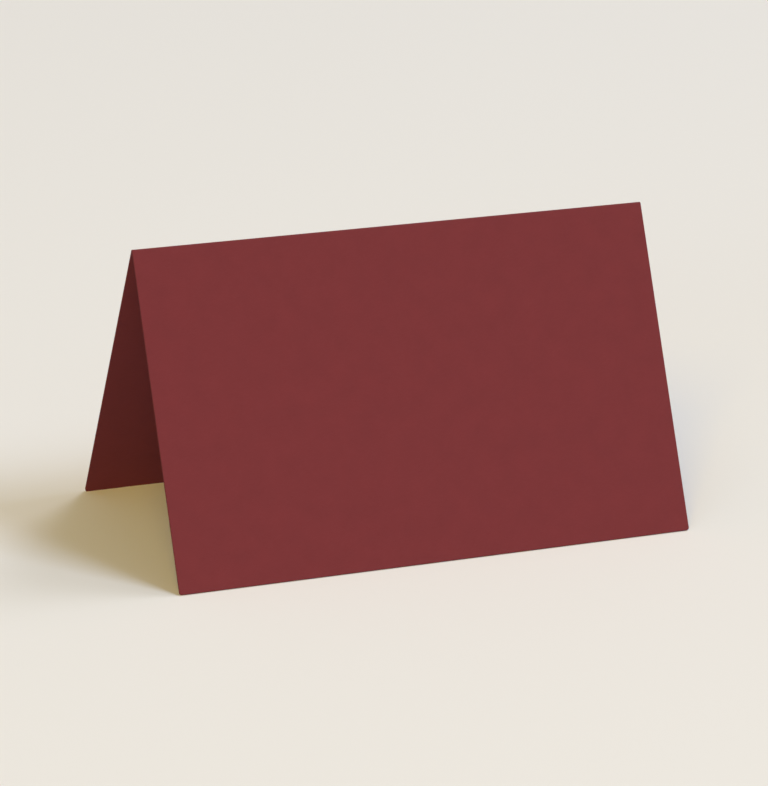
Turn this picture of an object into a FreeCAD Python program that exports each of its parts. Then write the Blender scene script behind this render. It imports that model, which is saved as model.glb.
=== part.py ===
import FreeCAD, Part
import math
import os

import Sketcher

# A place card: one sheet of dyed card, creased across its middle and folded into a tent.
# Millimetres. +X runs along the fold, the front panel looks towards -Y and +Z is up. The origin
# is on the table, under the middle of the fold.

# The driving dimensions: alias, plain number, what it sets. The lean is in degrees.
DRIVING_DIMENSIONS = [
    ("card_width", 101.6, "along the fold and along each foot"),
    ("panel_height", 63.5, "outer face of a panel, from its foot to the mould line of the fold"),
    ("sheet_thickness", 0.40, "heavy card of about 320 grams a square metre"),
    ("lean_angle", 25.9, "each panel, from upright"),
    ("fold_radius", 0.45, "outer skin round the fold"),
    ("bead_radius", 0.24, "roll of loosened fibre that the crease leaves inside the fold"),
    ("bead_drop", 0.20, "centre of that roll, below the point where the inner skins would meet"),
    ("bead_root_radius", 0.06, "where the roll runs out into each inner skin"),
    ("corner_radius", 0.50, "the four free corners"),
    ("cut_roll_radius", 0.06, "where the cutting rule rolled the edge of the outer skin over"),
]

# The numbers by which a sketch knows its points and its own axes.
START, END, CENTRE = 1, 2, 3
ORIGIN_X_AXIS, ORIGIN_Y_AXIS = -1, -2
TOUCHING = 1e-6


def write_dimensions(document):
    """Puts the driving dimensions in a spreadsheet, one aliased cell each."""
    sheet = document.addObject("Spreadsheet::Sheet", "sizes")
    for row, (alias, number, meaning) in enumerate(DRIVING_DIMENSIONS, start=1):
        sheet.set(f"A{row}", alias)
        sheet.set(f"B{row}", str(number))
        sheet.set(f"C{row}", meaning)
        sheet.setAlias(f"B{row}", alias)
    document.recompute()
    return sheet


def origin_plane(body, role):
    """The body's own origin plane of that role."""
    return next(feature for feature in body.Origin.OriginFeatures if feature.Role == role)


def vector(y, z):
    """A point of the section sketch, whose own axes are the card's Y and Z."""
    return FreeCAD.Vector(y, z, 0)


def arc_between(centre, radius, start, end):
    """The arc that runs anticlockwise about centre, from the angle of start to that of end."""
    circle = Part.Circle(centre, FreeCAD.Vector(0, 0, 1), radius)
    first = math.atan2(start.y - centre.y, start.x - centre.x)
    last = math.atan2(end.y - centre.y, end.x - centre.x)
    return Part.ArcOfCircle(circle, first, last)


def mirrored(point):
    """The point's twin on the other panel."""
    return vector(-point.x, point.y)


def section_points(sheet):
    """Where the corners and centres of the section lie, for a start that needs no solving."""
    lean = math.radians(sheet.lean_angle)
    up_panel = vector(math.sin(lean), math.cos(lean))
    into_card = vector(math.cos(lean), -math.sin(lean))
    outer_foot = vector(
        -sheet.panel_height * math.sin(lean), sheet.sheet_thickness * math.sin(lean)
    )
    mould_line = outer_foot + up_panel * sheet.panel_height
    inner_corner = mould_line - vector(0, sheet.sheet_thickness / math.sin(lean))
    bead_centre = inner_corner - vector(0, sheet.bead_drop)

    # The root touches the front panel's inner skin and the outside of the bead.
    root_offset = sheet.bead_drop * math.sin(lean) - sheet.bead_root_radius
    root_reach = sheet.bead_radius + sheet.bead_root_radius
    root_run = sheet.bead_drop * math.cos(lean) + math.sqrt(root_reach**2 - root_offset**2)
    root_on_skin = inner_corner - up_panel * root_run
    root_centre = root_on_skin + into_card * sheet.bead_root_radius
    towards_root = (root_centre - bead_centre) * (1 / root_reach)
    return {
        "outer_foot": outer_foot,
        "inner_foot": outer_foot + into_card * sheet.sheet_thickness,
        "fold_start": mould_line - up_panel * (sheet.fold_radius / math.tan(lean)),
        "mould_line": mould_line,
        "fold_centre": mould_line - vector(0, sheet.fold_radius / math.sin(lean)),
        "bead_centre": bead_centre,
        "root_on_skin": root_on_skin,
        "root_centre": root_centre,
        "root_on_bead": bead_centre + towards_root * sheet.bead_radius,
    }


def draw_section(body, sheet):
    """The folded sheet seen from its end: two leaning panels, the round fold and its bead."""
    sketch = body.newObject("Sketcher::SketchObject", "folded_section")
    sketch.AttachmentSupport = (origin_plane(body, "YZ_Plane"), "")
    sketch.MapMode = "FlatFace"

    at = section_points(sheet)
    fold_end = mirrored(at["fold_start"])
    back_outer_foot = mirrored(at["outer_foot"])
    back_inner_foot = mirrored(at["inner_foot"])
    back_on_skin = mirrored(at["root_on_skin"])
    back_on_bead = mirrored(at["root_on_bead"])
    back_root_centre = mirrored(at["root_centre"])

    def add(shape):
        return sketch.addGeometry(shape, False)

    front_outer = add(Part.LineSegment(at["outer_foot"], at["fold_start"]))
    fold = add(arc_between(at["fold_centre"], sheet.fold_radius, fold_end, at["fold_start"]))
    back_outer = add(Part.LineSegment(fold_end, back_outer_foot))
    back_cut = add(Part.LineSegment(back_outer_foot, back_inner_foot))
    back_inner = add(Part.LineSegment(back_inner_foot, back_on_skin))
    back_root = add(
        arc_between(back_root_centre, sheet.bead_root_radius, back_on_skin, back_on_bead)
    )
    bead = add(
        arc_between(at["bead_centre"], sheet.bead_radius, at["root_on_bead"], back_on_bead)
    )
    front_root = add(
        arc_between(
            at["root_centre"], sheet.bead_root_radius, at["root_on_bead"], at["root_on_skin"]
        )
    )
    front_inner = add(Part.LineSegment(at["root_on_skin"], at["inner_foot"]))
    front_cut = add(Part.LineSegment(at["inner_foot"], at["outer_foot"]))
    mould_line = sketch.addGeometry(Part.Point(at["mould_line"]), True)

    def rule(*words):
        return sketch.addConstraint(Sketcher.Constraint(*words))

    # The outline is closed, and it runs smoothly through the fold and round the bead.
    rule("Tangent", front_outer, END, fold, END)
    rule("Tangent", fold, START, back_outer, START)
    rule("Coincident", back_outer, END, back_cut, START)
    rule("Coincident", back_cut, END, back_inner, START)
    rule("Tangent", back_inner, END, back_root, START)
    rule("Tangent", back_root, END, bead, END)
    rule("Tangent", bead, START, front_root, START)
    rule("Tangent", front_root, END, front_inner, START)
    rule("Coincident", front_inner, END, front_cut, START)
    rule("Coincident", front_cut, END, front_outer, START)

    # One sheet: its skins are parallel, and it was cut square to them.
    rule("Parallel", front_inner, front_outer)
    rule("Parallel", back_inner, back_outer)
    rule("Perpendicular", front_cut, front_outer)
    rule("Perpendicular", back_cut, back_outer)
    rule("Equal", front_cut, back_cut)
    rule("Equal", front_root, back_root)

    # It stands on its inner cut corners, with the fold over the middle.
    rule("PointOnObject", front_inner, END, ORIGIN_X_AXIS)
    rule("Symmetric", front_inner, END, back_inner, START, ORIGIN_Y_AXIS)
    rule("PointOnObject", fold, CENTRE, ORIGIN_Y_AXIS)
    rule("PointOnObject", bead, CENTRE, ORIGIN_Y_AXIS)
    rule("PointOnObject", mould_line, START, ORIGIN_Y_AXIS)
    rule("PointOnObject", mould_line, START, front_outer)

    def size(name, expression, *words):
        number = rule(*words)
        sketch.renameConstraint(number, name)
        sketch.setExpression(f"Constraints.{name}", expression)

    lean = math.radians(sheet.lean_angle)
    inner_corner_depth = sheet.sheet_thickness / math.sin(lean)
    size("thickness", "sizes.sheet_thickness", "Distance", front_cut, sheet.sheet_thickness)
    size(
        "panel_height",
        "sizes.panel_height",
        "Distance",
        front_outer,
        START,
        mould_line,
        START,
        sheet.panel_height,
    )
    size(
        "lean",
        "sizes.lean_angle * 1 deg",
        "Angle",
        front_outer,
        START,
        ORIGIN_Y_AXIS,
        START,
        lean,
    )
    size("fold_radius", "sizes.fold_radius", "Radius", fold, sheet.fold_radius)
    size("bead_radius", "sizes.bead_radius", "Radius", bead, sheet.bead_radius)
    size("root_radius", "sizes.bead_root_radius", "Radius", front_root, sheet.bead_root_radius)
    size(
        "bead_depth",
        "sizes.sheet_thickness / sin(sizes.lean_angle * 1 deg) + sizes.bead_drop",
        "DistanceY",
        bead,
        CENTRE,
        mould_line,
        START,
        inner_corner_depth + sheet.bead_drop,
    )
    return sketch


def fillet_edges(body, base, name, edges, size_alias):
    """Rounds the chosen edges of the feature base, with a radius from the spreadsheet."""
    numbers = [
        index
        for index, edge in enumerate(base.Shape.Edges, start=1)
        if any(edge.isSame(chosen) for chosen in edges)
    ]
    fillet = body.newObject("PartDesign::Fillet", name)
    fillet.Base = (base, [f"Edge{number}" for number in numbers])
    fillet.setExpression("Radius", f"sizes.{size_alias}")
    return fillet


def free_corner_edges(shape, sheet):
    """The edges straight through the sheet at the ends of both feet."""
    return [
        edge
        for edge in shape.Edges
        if edge.Curve.TypeId == "Part::GeomLine"
        and abs(edge.Length - sheet.sheet_thickness) < TOUCHING
        and abs(abs(edge.CenterOfMass.x) - sheet.card_width / 2) < TOUCHING
    ]


def outer_skin_edges(shape, sheet):
    """The cut edge of the outer skin: every edge that only one outer face has."""
    lean = math.radians(sheet.lean_angle)
    front_normal = FreeCAD.Vector(0, -math.cos(lean), math.sin(lean))
    back_normal = FreeCAD.Vector(0, math.cos(lean), math.sin(lean))

    def is_outer(face):
        if face.Surface.TypeId == "Part::GeomCylinder":
            along_fold = abs(face.Surface.Axis.x) > 1 - TOUCHING
            return along_fold and abs(face.Surface.Radius - sheet.fold_radius) < TOUCHING
        normal = face.normalAt(0, 0)
        return max(normal.dot(front_normal), normal.dot(back_normal)) > 1 - TOUCHING

    edges = [edge for face in shape.Faces if is_outer(face) for edge in face.Edges]
    return [edge for edge in edges if sum(edge.isSame(other) for other in edges) == 1]


def make_folded_card(document, sheet):
    """The whole card: its section padded along the fold, then the die-cut corners and edge."""
    body = document.addObject("PartDesign::Body", "folded_card")
    body.Label = "folded_card"
    section = draw_section(body, sheet)

    panels = body.newObject("PartDesign::Pad", "panels_and_fold")
    panels.Profile = section
    panels.SideType = "Symmetric"
    panels.setExpression("Length", "sizes.card_width")
    document.recompute()

    corners = fillet_edges(
        body,
        panels,
        "free_corners",
        free_corner_edges(panels.Shape, sheet),
        "corner_radius",
    )
    document.recompute()

    fillet_edges(
        body,
        corners,
        "cut_edge_roll",
        outer_skin_edges(corners.Shape, sheet),
        "cut_roll_radius",
    )
    document.recompute()
    return body


def check_document(document, bodies):
    """Stops before anything is written if a feature failed or a solid isn't sound."""
    for thing in document.Objects:
        if "Invalid" in thing.State or "Error" in thing.State:
            raise RuntimeError(f"{thing.Name} failed: {thing.State}")
    for body in bodies:
        if body.Shape.isNull() or not body.Shape.isValid():
            raise RuntimeError(f"{body.Label} has no sound shape")
        if len(body.Shape.Solids) != 1:
            raise RuntimeError(f"{body.Label} isn't one solid")


def flat_length(sheet):
    """The sheet's length before it was folded, along the middle of its thickness."""
    lean = math.radians(sheet.lean_angle)
    straight = sheet.panel_height - sheet.fold_radius / math.tan(lean)
    bend = (sheet.fold_radius - sheet.sheet_thickness / 2) * (math.pi - 2 * lean)
    return 2 * straight + bend


def main():
    os.makedirs("parts", exist_ok=True)
    document = FreeCAD.newDocument("place_card")
    sheet = write_dimensions(document)
    card = make_folded_card(document, sheet)
    check_document(document, [card])
    card.Shape.exportStep(f"parts/{card.Label}.step")
    print(f"flat sheet {sheet.card_width:.1f} x {flat_length(sheet):.1f} mm")


main()
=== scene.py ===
# A place card: one sheet of burgundy dyed card, creased across its middle and folded into a tent.
# Metres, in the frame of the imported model: +X along the fold, the front panel looking to -Y, +Z up.
import math

import bmesh
import bpy
from mathutils import Matrix, Vector


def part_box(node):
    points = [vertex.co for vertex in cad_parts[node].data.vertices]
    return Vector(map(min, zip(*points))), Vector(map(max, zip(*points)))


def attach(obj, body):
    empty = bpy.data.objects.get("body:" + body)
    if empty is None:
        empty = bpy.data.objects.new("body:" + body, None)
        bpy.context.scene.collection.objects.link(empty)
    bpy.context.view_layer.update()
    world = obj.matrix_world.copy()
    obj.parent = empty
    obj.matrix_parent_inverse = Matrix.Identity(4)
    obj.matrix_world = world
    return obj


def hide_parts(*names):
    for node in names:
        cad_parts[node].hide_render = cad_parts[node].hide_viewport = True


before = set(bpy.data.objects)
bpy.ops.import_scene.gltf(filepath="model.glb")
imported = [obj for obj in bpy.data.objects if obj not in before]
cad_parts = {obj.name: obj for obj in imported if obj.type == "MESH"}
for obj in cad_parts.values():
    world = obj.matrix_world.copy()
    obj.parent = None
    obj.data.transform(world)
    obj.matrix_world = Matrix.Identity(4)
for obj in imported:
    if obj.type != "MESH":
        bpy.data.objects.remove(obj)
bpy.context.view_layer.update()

MM = 0.001

# The sheet, as it was cut, creased and folded.
SHEET_THICKNESS = 0.40 * MM
LEAN = math.radians(25.9)  # each panel, from upright
FOLD_RADIUS = 0.45 * MM  # outer skin round the fold
BEAD_RADIUS = 0.24 * MM  # roll of loosened fibre that the crease leaves inside the fold
BEAD_DROP = 0.20 * MM  # its centre, below the line where the inner skins would meet
BEAD_ROOT_RADIUS = 0.06 * MM  # where the roll runs out into each inner skin
CORNER_RADIUS = 0.50 * MM  # the four free corners
CUT_ROLL = 0.06 * MM  # where the cutting rule rolled the edge of the outer skin over

# How finely the sheet is stepped. Round the fold, both skins have the same number of steps.
ROOT_STEPS = 5
BEAD_STEPS = 8
FOLD_STEPS = 2 * ROOT_STEPS + BEAD_STEPS
CORNER_STEPS = 6
ROLL_STEPS = 3
COLUMNS = 24
ROWS = 14
BORDER = 0.8 * MM  # a narrow strip inside each edge keeps the flat of the panel flat in the shading
SHARP = math.radians(40)  # an edge bent by more than this isn't shaded smooth
CUT_TURN = math.radians(50)  # a face turned by more than this from its skin is part of the cut
TOUCH = 1e-7  # points nearer to each other or to a plane than this are taken to meet
BLANK_PLACE = "blank_place"  # the attribute that holds each vertex's place on the flat blank

UP = Vector((0, 0, 1))
ALONG_FOLD = Vector((1, 0, 0))


# ---------------------------------------------------------------- the folded sheet

class Panel:
    """Directions and points of one panel. side is -1 for the front panel and 1 for the back one."""

    def __init__(self, side):
        low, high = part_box("folded_card")
        self.side = side
        self.down = Vector((0, side * math.sin(LEAN), -math.cos(LEAN)))
        self.inward = Vector((0, -side * math.cos(LEAN), -math.sin(LEAN)))
        self.fold_centre = Vector((low.x, 0, high.z - FOLD_RADIUS))
        self.mould_line = self.fold_centre + UP * (FOLD_RADIUS / math.sin(LEAN))
        self.fold_tangent = self.fold_centre - self.inward * FOLD_RADIUS

        # The root of the bead is round, and touches both the inner skin and the bead.
        inner_corner = self.mould_line - UP * (SHEET_THICKNESS / math.sin(LEAN))
        self.bead_centre = inner_corner - UP * BEAD_DROP
        offset = BEAD_DROP * math.sin(LEAN) - BEAD_ROOT_RADIUS
        reach = BEAD_RADIUS + BEAD_ROOT_RADIUS
        run = BEAD_DROP * math.cos(LEAN) + math.sqrt(reach**2 - offset**2)
        self.root_on_skin = inner_corner + self.down * run
        self.root_centre = self.root_on_skin + self.inward * BEAD_ROOT_RADIUS
        towards_root = (self.root_centre - self.bead_centre).normalized()
        self.root_on_bead = self.bead_centre + towards_root * BEAD_RADIUS

        drop = (self.root_on_skin.z - low.z) / math.cos(LEAN)
        self.inner_foot = self.root_on_skin + self.down * drop
        self.outer_foot = self.inner_foot - self.inward * SHEET_THICKNESS

    def place(self, point):
        """A point's place on the flat blank: along the fold, away from it and into the sheet."""
        spoke = point - self.fold_centre
        past_fold = spoke.dot(self.down)
        if past_fold > 0:
            away = FOLD_RADIUS * (math.pi / 2 - LEAN) + past_fold
            depth = FOLD_RADIUS + spoke.dot(self.inward)
        else:
            away = FOLD_RADIUS * math.atan2(abs(spoke.y), spoke.z)
            depth = FOLD_RADIUS - math.hypot(spoke.y, spoke.z)
        return Vector((point.x, self.side * away, depth))

    def stands_on(self, point):
        """True for a point of the cut face that the panel stands on."""
        return (point - self.outer_foot).dot(self.down) > -TOUCH


FRONT = Panel(-1)
BACK = Panel(1)


def panel_at(point):
    """The panel that a point of the sheet belongs to. They meet over the middle of the fold."""
    return FRONT if point.y < 0 else BACK


def spin_to(bm, corner, centre, end, steps):
    """Spins the chain's last vertex round centre, the short way, and returns the one at end."""
    first = corner.co - centre
    last = end - centre
    turn = math.atan2(ALONG_FOLD.dot(first.cross(last)), first.dot(last))
    made = bmesh.ops.spin(
        bm, geom=[corner], cent=centre, axis=ALONG_FOLD, dvec=(0, 0, 0), angle=turn, steps=steps
    )
    return made["geom_last"][0]


def run_to(bm, corner, end):
    """Extrudes a vertex of the chain into a straight edge that stops at end."""
    made = bmesh.ops.extrude_vert_indiv(bm, verts=[corner])
    made["verts"][0].co = end


def draw_outer_skin(bm):
    """Up the front panel, round the fold and down the back panel."""
    start = bm.verts.new(FRONT.fold_tangent)
    end = spin_to(bm, start, FRONT.fold_centre, BACK.fold_tangent, FOLD_STEPS)
    run_to(bm, start, FRONT.outer_foot)
    run_to(bm, end, BACK.outer_foot)


def draw_inner_skin(bm):
    """The same on the inside, with the bead and its two roots where the outside has the fold."""
    start = bm.verts.new(FRONT.root_on_skin)
    corner = spin_to(bm, start, FRONT.root_centre, FRONT.root_on_bead, ROOT_STEPS)
    corner = spin_to(bm, corner, FRONT.bead_centre, BACK.root_on_bead, BEAD_STEPS)
    end = spin_to(bm, corner, BACK.root_centre, BACK.root_on_skin, ROOT_STEPS)
    run_to(bm, start, FRONT.inner_foot)
    run_to(bm, end, BACK.inner_foot)


def pull_along_fold(bm, width):
    """Bridges the two skins into the sheet's section, and its outline to a copy at the far end.

    An extrude would do the same, but it leaves the faces in another order each time.
    """
    bmesh.ops.bridge_loops(bm, edges=bm.edges[:])
    copied = bmesh.ops.duplicate(bm, geom=bm.verts[:] + bm.edges[:] + bm.faces[:])
    far_end = [part for part in copied["geom"] if isinstance(part, bmesh.types.BMVert)]
    bmesh.ops.translate(bm, verts=far_end, vec=ALONG_FOLD * width)
    outlines = [edge for edge in bm.edges if edge.is_boundary]
    bmesh.ops.bridge_loops(bm, edges=outlines)
    bmesh.ops.recalc_face_normals(bm, faces=bm.faces)


def is_outer_skin(face):
    """True for the outer faces of both panels and of the fold.

    Of these, the top of the fold looks least away from the inside, by the sine of the lean, so half
    of that is asked for. The sides of the bead look as far away, but they lie deeper.
    """
    middle = face.calc_center_median()
    panel = panel_at(middle)
    faces_out = face.normal.dot(panel.inward) < -math.sin(LEAN) / 2
    return faces_out and panel.place(middle).z < SHEET_THICKNESS / 2


def is_cut(face):
    """True for the faces that the cutting rule made, which are square to the sheet.

    Above the panels, in the crease, only the ends are cut, and their faces look along the fold.
    """
    middle = face.calc_center_median()
    panel = panel_at(middle)
    below_crease = (middle - panel.root_on_skin).dot(panel.down) > 0
    to_foot = face.normal.dot(panel.down) if below_crease else 0
    return math.hypot(face.normal.x, to_foot) > math.sin(CUT_TURN)


def round_over(bm, edges, radius, steps):
    """Bevels square edges into a round of this radius."""
    bmesh.ops.bevel(
        bm,
        geom=edges,
        offset=radius,
        offset_type="OFFSET",
        segments=steps,
        profile=0.5,
        affect="EDGES",
        material=-1,
    )


def round_free_corners(bm):
    """The two edges that run straight through the sheet, at the ends of each foot."""
    corners = []
    for edge in bm.edges:
        first, last = (vertex.co for vertex in edge.verts)
        panel = panel_at(first)
        if panel.stands_on(first) and panel.stands_on(last) and abs(first.x - last.x) < TOUCH:
            corners.append(edge)
    round_over(bm, corners, CORNER_RADIUS, CORNER_STEPS)


def roll_outer_edge(bm):
    """The whole border of the outer skin, which the cutting rule pressed over."""
    border = [
        edge for edge in bm.edges if len({is_outer_skin(face) for face in edge.link_faces}) == 2
    ]
    round_over(bm, border, CUT_ROLL, ROLL_STEPS)


def even_steps(first, last, count):
    """The ends of count even steps that lead from first to last, both of them included."""
    return [first + (last - first) * step / count for step in range(count + 1)]


def rule_into_grid(bm):
    """Cuts both panels into even columns and rows, with a narrow strip inside every edge."""
    low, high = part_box("folded_card")
    columns = even_steps(low.x + BORDER, high.x - BORDER, COLUMNS)
    rows = even_steps(low.z + BORDER, FRONT.fold_tangent.z - BORDER, ROWS)
    cuts = [(ALONG_FOLD * x, ALONG_FOLD) for x in columns] + [(UP * z, UP) for z in rows]
    for point, square_to in cuts:
        parts = bm.verts[:] + bm.edges[:] + bm.faces[:]
        bmesh.ops.bisect_plane(bm, geom=parts, dist=TOUCH, plane_co=point, plane_no=square_to)


def settle_order(bm):
    """Sorts the faces by their first edge, because bevels and cuts leave them in a chance order."""
    bm.verts.index_update()
    count = len(bm.verts)
    bm.faces.sort(key=lambda face: face.verts[0].index * count + face.verts[1].index)


def remember_blank(mesh):
    """Gives each vertex its place on the flat blank, so that patterns can follow the sheet."""
    places = mesh.attributes.new(BLANK_PLACE, "FLOAT_VECTOR", "POINT")
    for vertex, place in zip(mesh.vertices, places.data):
        place.vector = panel_at(vertex.co).place(vertex.co)


def make_card(skin, core):
    """The whole card, its faces in the skin's material and its cut edges in the core's."""
    low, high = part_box("folded_card")
    bm = bmesh.new()
    draw_outer_skin(bm)
    draw_inner_skin(bm)
    pull_along_fold(bm, high.x - low.x)
    round_free_corners(bm)
    roll_outer_edge(bm)
    rule_into_grid(bm)
    bmesh.ops.remove_doubles(bm, verts=bm.verts, dist=TOUCH)
    bmesh.ops.recalc_face_normals(bm, faces=bm.faces)
    settle_order(bm)
    for face in bm.faces:
        face.smooth = True
        face.material_index = 1 if is_cut(face) else 0

    mesh = bpy.data.meshes.new("place_card")
    bm.to_mesh(mesh)
    bm.free()
    mesh.set_sharp_from_angle(angle=SHARP)
    mesh.materials.append(skin)
    mesh.materials.append(core)
    remember_blank(mesh)
    card = bpy.data.objects.new("place_card", mesh)
    bpy.context.scene.collection.objects.link(card)
    flat_shading = card.modifiers.new("flat panels", "WEIGHTED_NORMAL")
    flat_shading.keep_sharp = True
    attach(card, "root")
    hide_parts("folded_card")


# ---------------------------------------------------------------- materials

READ_BLANK_PLACE = {"attribute_type": "GEOMETRY", "attribute_name": BLANK_PLACE}

# One cell of each pattern: its length along the fold, its width across it, and its depth. The grain
# of the card runs along its fold, as in any card that is creased well.
FIBRE = (1.6 * MM, 0.22 * MM, 0.22 * MM)  # coarser than pulp, whose 0.03 mm is too fine to show
FIBRE_TURNS = (-27, 4, 33)  # degrees from the grain, because fibres are felted across each other
FLOCK = (4.5 * MM, 4.5 * MM, 4.5 * MM)  # the clouds that fibres clot into as the sheet forms
STRETCHED = (0.18 * MM, 0.9 * MM, 0.9 * MM)  # fibres pulled apart over the fold
LAYER = (1.6 * MM, 1.6 * MM, 0.07 * MM)  # layers of fibre that the sheet is pressed from
USUAL_LOW, USUAL_HIGH = 0.35, 0.65  # a noise seldom leaves this range

# How far the fibres stand up: on the skin, where they are stretched over the fold, and where cut.
SKIN_TOOTH = 0.012 * MM
FOLD_TOOTH = 0.03 * MM
CORE_TOOTH = 0.03 * MM

# Over the skin from the middle of the fold, the stretching is whole up to the first of these
# distances, and gone at the second.
STRETCH_WHOLE, STRETCH_GONE = FOLD_RADIUS, 2 * FOLD_RADIUS

CARD_IOR = 1.5  # cellulose
HOLLOW_ROUGHNESS, FIBRE_ROUGHNESS = 0.95, 0.85  # between the fibres, and on top of them
SKIN_DARK, SKIN_LIGHT = "#6B282B", "#702A2D"
SKIN_SHEEN = "#BDA0A6"
# The cut edge runs from the first colour, painted shade in the deep lines of its layers, to the
# second on their tops.
CORE_GROOVE_SHADE, CORE_LIGHT = "#612729", "#713133"
TABLE_COLOUR = "#EAE5DE"
WALL_COLOUR = "#E7E3DB"  # seen
WALL_GLOW = "#898889"  # cast on the card and the table

FADE_START = 0.5  # how far from the card the table top begins to fade away
TABLE_REACH = 1.8  # and how far from it the table ends


def srgb(hex_code):
    """A colour written as sRGB hex, as the linear colour that a shader takes."""
    linear = []
    for start in (1, 3, 5):
        part = int(hex_code[start : start + 2], 16) / 255
        linear.append(part / 12.92 if part <= 0.04045 else ((part + 0.055) / 1.055) ** 2.4)
    return (*linear, 1)


def add_node(tree, kind, settings=None, sockets=None, output=None):
    """Adds a node, and returns its first output, or the one that is named.

    settings are the node's own properties. A socket takes a plain value or another node's output,
    and where several have one name, it is the first of them that counts.
    """
    node = tree.nodes.new(kind)
    for name, value in (settings or {}).items():
        setattr(node, name, value)
    inputs = {socket.name: socket for socket in reversed(node.inputs) if socket.enabled}
    for name, value in (sockets or {}).items():
        if isinstance(value, bpy.types.NodeSocket):
            tree.links.new(value, inputs[name])
        else:
            inputs[name].default_value = value
    for socket in node.outputs:
        if socket.enabled and output in (None, socket.name):
            return socket
    return None


def new_material(name):
    """A node material with nothing in it yet, and its tree."""
    material = bpy.data.materials.new(name)
    material.use_nodes = True
    material.node_tree.nodes.clear()
    return material, material.node_tree


def fibre_pattern(tree, place, cell, turn=0):
    """A noise whose cells have the size of cell, turned by this many degrees from the grain."""
    lie = {"Vector": place, "Rotation": (0, 0, math.radians(turn)), "Scale": cell}
    laid = add_node(tree, "ShaderNodeMapping", {"vector_type": "TEXTURE"}, lie)
    noise = {"Vector": laid, "Scale": 1.0, "Detail": 2.0, "Roughness": 0.55}
    return add_node(tree, "ShaderNodeTexNoise", {"noise_dimensions": "3D"}, noise)


def felt(tree, patterns):
    """The mean of several patterns, laid over each other one by one."""
    mean = patterns[0]
    for count, pattern in enumerate(patterns[1:], start=2):
        both = {"Factor": 1 / count, "A": mean, "B": pattern}
        mean = add_node(tree, "ShaderNodeMix", sockets=both)
    return mean


def mix_over(tree, pattern, first, last):
    """From the first colour to the last over a pattern's usual range."""
    usual = {"Value": pattern, "From Min": USUAL_LOW, "From Max": USUAL_HIGH}
    share = add_node(tree, "ShaderNodeMapRange", sockets=usual)
    colours = {"Factor": share, "A": srgb(first), "B": srgb(last)}
    return add_node(tree, "ShaderNodeMix", {"data_type": "RGBA"}, colours)


def vat_dyed_skin():
    """Uncoated cover card, dyed in the pulp and pressed between felts.

    Every fibre takes the dye, so the burgundy is deep and even, with the faint clouds of a formed
    sheet. Nothing coats the fibres, which leaves the skin dead matt with a dusty sheen at a glance,
    and over the fold they are stretched and stand up a little.
    """
    material, tree = new_material("vat_dyed_card_skin")
    place = add_node(tree, "ShaderNodeAttribute", READ_BLANK_PLACE, output="Vector")
    fibres = felt(tree, [fibre_pattern(tree, place, FIBRE, turn) for turn in FIBRE_TURNS])
    clouds = felt(tree, [fibre_pattern(tree, place, FLOCK), fibres])
    roughness = {
        "Value": fibres,
        "From Min": USUAL_LOW,
        "From Max": USUAL_HIGH,
        "To Min": HOLLOW_ROUGHNESS,
        "To Max": FIBRE_ROUGHNESS,
    }
    tooth = {"Distance": SKIN_TOOTH, "Height": fibres}

    across = add_node(tree, "ShaderNodeSeparateXYZ", sockets={"Vector": place}, output="Y")
    away = add_node(tree, "ShaderNodeMath", {"operation": "ABSOLUTE"}, {"Value": across})
    over_fold = {"Value": away, "From Min": STRETCH_GONE, "From Max": STRETCH_WHOLE}
    stretched = {
        "Strength": add_node(tree, "ShaderNodeMapRange", sockets=over_fold),
        "Distance": FOLD_TOOTH,
        "Height": fibre_pattern(tree, place, STRETCHED),
        "Normal": add_node(tree, "ShaderNodeBump", sockets=tooth),
    }
    surface = {
        "Base Color": mix_over(tree, clouds, SKIN_DARK, SKIN_LIGHT),
        "Roughness": add_node(tree, "ShaderNodeMapRange", sockets=roughness),
        "IOR": CARD_IOR,
        "Specular IOR Level": 0.25,
        "Sheen Weight": 0.11,
        "Sheen Roughness": 0.5,
        "Sheen Tint": srgb(SKIN_SHEEN),
        "Normal": add_node(tree, "ShaderNodeBump", sockets=stretched),
    }
    shader = add_node(tree, "ShaderNodeBsdfPrincipled", sockets=surface)
    add_node(tree, "ShaderNodeOutputMaterial", sockets={"Surface": shader})
    return material


def die_cut_core():
    """The same card where a cutting rule went through it.

    The rule shears the layers of fibre and leaves their ends standing, so the edge is rougher than
    the skin, with fine lines along the sheet. Where the lines lie deep, their colour is darkened as
    painted shade in the grooves.
    """
    material, tree = new_material("die_cut_card_core")
    place = add_node(tree, "ShaderNodeAttribute", READ_BLANK_PLACE, output="Vector")
    layers = fibre_pattern(tree, place, LAYER)
    tooth = {"Distance": CORE_TOOTH, "Height": layers}
    surface = {
        # painted shade: the colour goes darker where the layers lie deep, as the bump does
        "Base Color": mix_over(tree, layers, CORE_GROOVE_SHADE, CORE_LIGHT),
        "Roughness": 1.0,
        "IOR": CARD_IOR,
        "Specular IOR Level": 0.15,
        "Normal": add_node(tree, "ShaderNodeBump", sockets=tooth),
    }
    shader = add_node(tree, "ShaderNodeBsdfPrincipled", sockets=surface)
    add_node(tree, "ShaderNodeOutputMaterial", sockets={"Surface": shader})
    return material


def matt_tabletop():
    """A table top painted a pale, warm off-white and dead matt, which takes a soft shadow.

    Far from the card it fades away, so that a low view has no line where the table ends.
    """
    material, tree = new_material("matt_tabletop")
    spot = {"Vector": add_node(tree, "ShaderNodeTexCoord", output="Object")}
    away = add_node(tree, "ShaderNodeVectorMath", {"operation": "LENGTH"}, spot, output="Value")
    fade = {"Value": away, "From Min": TABLE_REACH, "From Max": FADE_START}
    surface = {
        "Base Color": srgb(TABLE_COLOUR),
        "Roughness": 0.9,
        "Specular IOR Level": 0.1,
        "Alpha": add_node(tree, "ShaderNodeMapRange", {"interpolation_type": "SMOOTHSTEP"}, fade),
    }
    shader = add_node(tree, "ShaderNodeBsdfPrincipled", sockets=surface)
    add_node(tree, "ShaderNodeOutputMaterial", sockets={"Surface": shader})
    return material


# ---------------------------------------------------------------- table, camera and light

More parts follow.
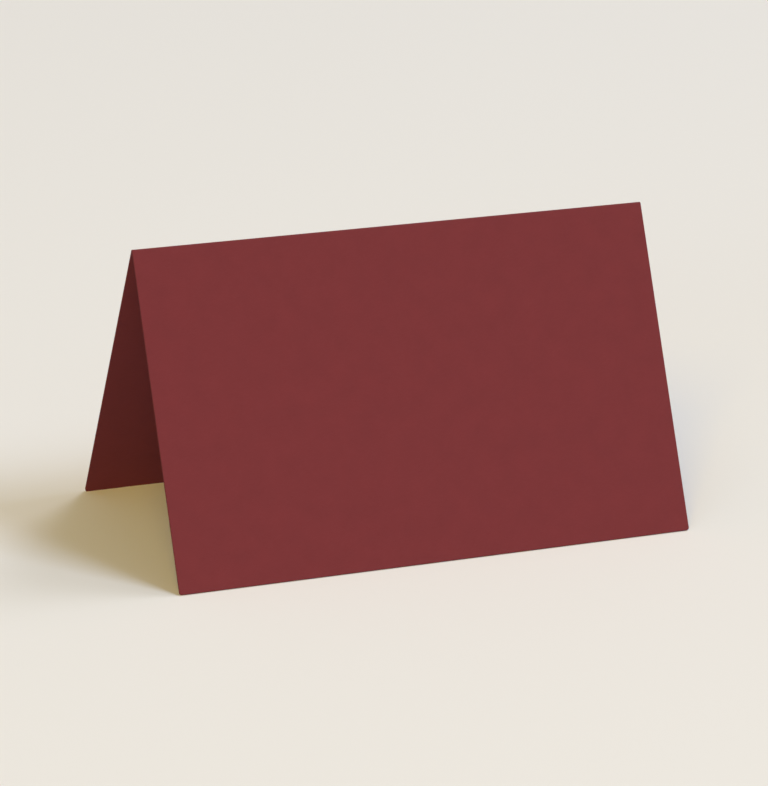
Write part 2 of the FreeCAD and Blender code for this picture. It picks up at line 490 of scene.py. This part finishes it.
CAMERA_AZIMUTH, CAMERA_ELEVATION, CAMERA_ROLL = -22.516, 19.486, 1.526  # degrees
CAMERA_TARGET = Vector((-0.764, 0, 23.825)) * MM
CAMERA_DISTANCE = 737.5 * MM
CAMERA_LENS, SENSOR_WIDTH = 179.65, 36  # mm, as Blender takes them

SOFTBOX_DISTANCE = 5.0
SOFTBOX_SIZE = 1.94  # its side, which sets how soft the edge of the shadow is

# Each softbox's name, azimuth, elevation, level and tint. The warm one shines in at the left end of
# the tent, so the shadow there is golden. The others are cooler, which makes all of them together
# neutral on the open table.
SOFTBOXES = (
    ("key_softbox", 45, 46, 0.65, "#CBDFFF"),
    ("warm_softbox", -32, 43, 0.46, "#FFE06E"),
    ("low_softbox", -47, 10, 0.23, "#C4E0FF"),
    ("side_softbox", 112, 54, 0.28, "#E8EFFF"),
)


def make_table():
    """The table top that the card stands on. It takes the shadow, and isn't part of the card."""
    bm = bmesh.new()
    bmesh.ops.create_grid(bm, x_segments=1, y_segments=1, size=TABLE_REACH)
    mesh = bpy.data.meshes.new("table_top")
    bm.to_mesh(mesh)
    bm.free()
    mesh.materials.append(matt_tabletop())
    table = bpy.data.objects.new("table_top", mesh)
    bpy.context.scene.collection.objects.link(table)


def towards(azimuth, elevation):
    """The way to a place round the card. Azimuth 0 degrees is in front of it, 90 to its right."""
    turn, rise = math.radians(azimuth), math.radians(elevation)
    level = math.cos(rise)
    return Vector((math.sin(turn) * level, -math.cos(turn) * level, math.sin(rise)))


def make_camera():
    """Looks at the card from the front left, a little from above, through a long lens."""
    back = towards(CAMERA_AZIMUTH, CAMERA_ELEVATION)
    right = UP.cross(back).normalized()
    upright = Matrix((right, back.cross(right), back)).transposed().to_4x4()
    roll = Matrix.Rotation(math.radians(CAMERA_ROLL), 4, "Z")
    data = bpy.data.cameras.new("camera")
    data.lens = CAMERA_LENS
    data.sensor_width = SENSOR_WIDTH
    camera = bpy.data.objects.new("camera", data)
    stand = Matrix.Translation(CAMERA_TARGET + back * CAMERA_DISTANCE)
    camera.matrix_world = stand @ upright @ roll
    bpy.context.scene.collection.objects.link(camera)
    bpy.context.scene.camera = camera


def make_softbox(name, azimuth, elevation, level, tint):
    """A square softbox that faces the card. At level 1, it lights white card to a full white."""
    way = towards(azimuth, elevation)
    data = bpy.data.lights.new(name, "AREA")
    data.shape = "SQUARE"
    data.size = SOFTBOX_SIZE
    data.energy = level * (math.pi * SOFTBOX_DISTANCE) ** 2
    data.color = srgb(tint)[:3]
    softbox = bpy.data.objects.new(name, data)
    turned = way.to_track_quat("Z", "Y").to_matrix().to_4x4()
    softbox.matrix_world = Matrix.Translation(way * SOFTBOX_DISTANCE) @ turned
    bpy.context.scene.collection.objects.link(softbox)


def light_walls():
    """An even glow from all round. Past the faded edge of the table, the eye meets its colour."""
    world = bpy.data.worlds.new("studio_walls")
    bpy.context.scene.world = world
    world.use_nodes = True
    tree = world.node_tree
    tree.nodes.clear()
    seen = 0.0
    for kind in ("Is Camera Ray", "Is Glossy Ray", "Is Transmission Ray"):
        ray = add_node(tree, "ShaderNodeLightPath", output=kind)
        seen = add_node(tree, "ShaderNodeMix", sockets={"Factor": ray, "A": seen, "B": 1.0})
    colours = {"Factor": seen, "A": srgb(WALL_GLOW), "B": srgb(WALL_COLOUR)}
    colour = add_node(tree, "ShaderNodeMix", {"data_type": "RGBA"}, colours)
    walls = add_node(tree, "ShaderNodeBackground", sockets={"Color": colour, "Strength": 1.0})
    add_node(tree, "ShaderNodeOutputWorld", sockets={"Surface": walls})


# ---------------------------------------------------------------- the scene

make_camera()
make_card(vat_dyed_skin(), die_cut_core())
make_table()
for softbox in SOFTBOXES:
    make_softbox(*softbox)
light_walls()
bpy.context.scene.view_settings.view_transform = "Standard"
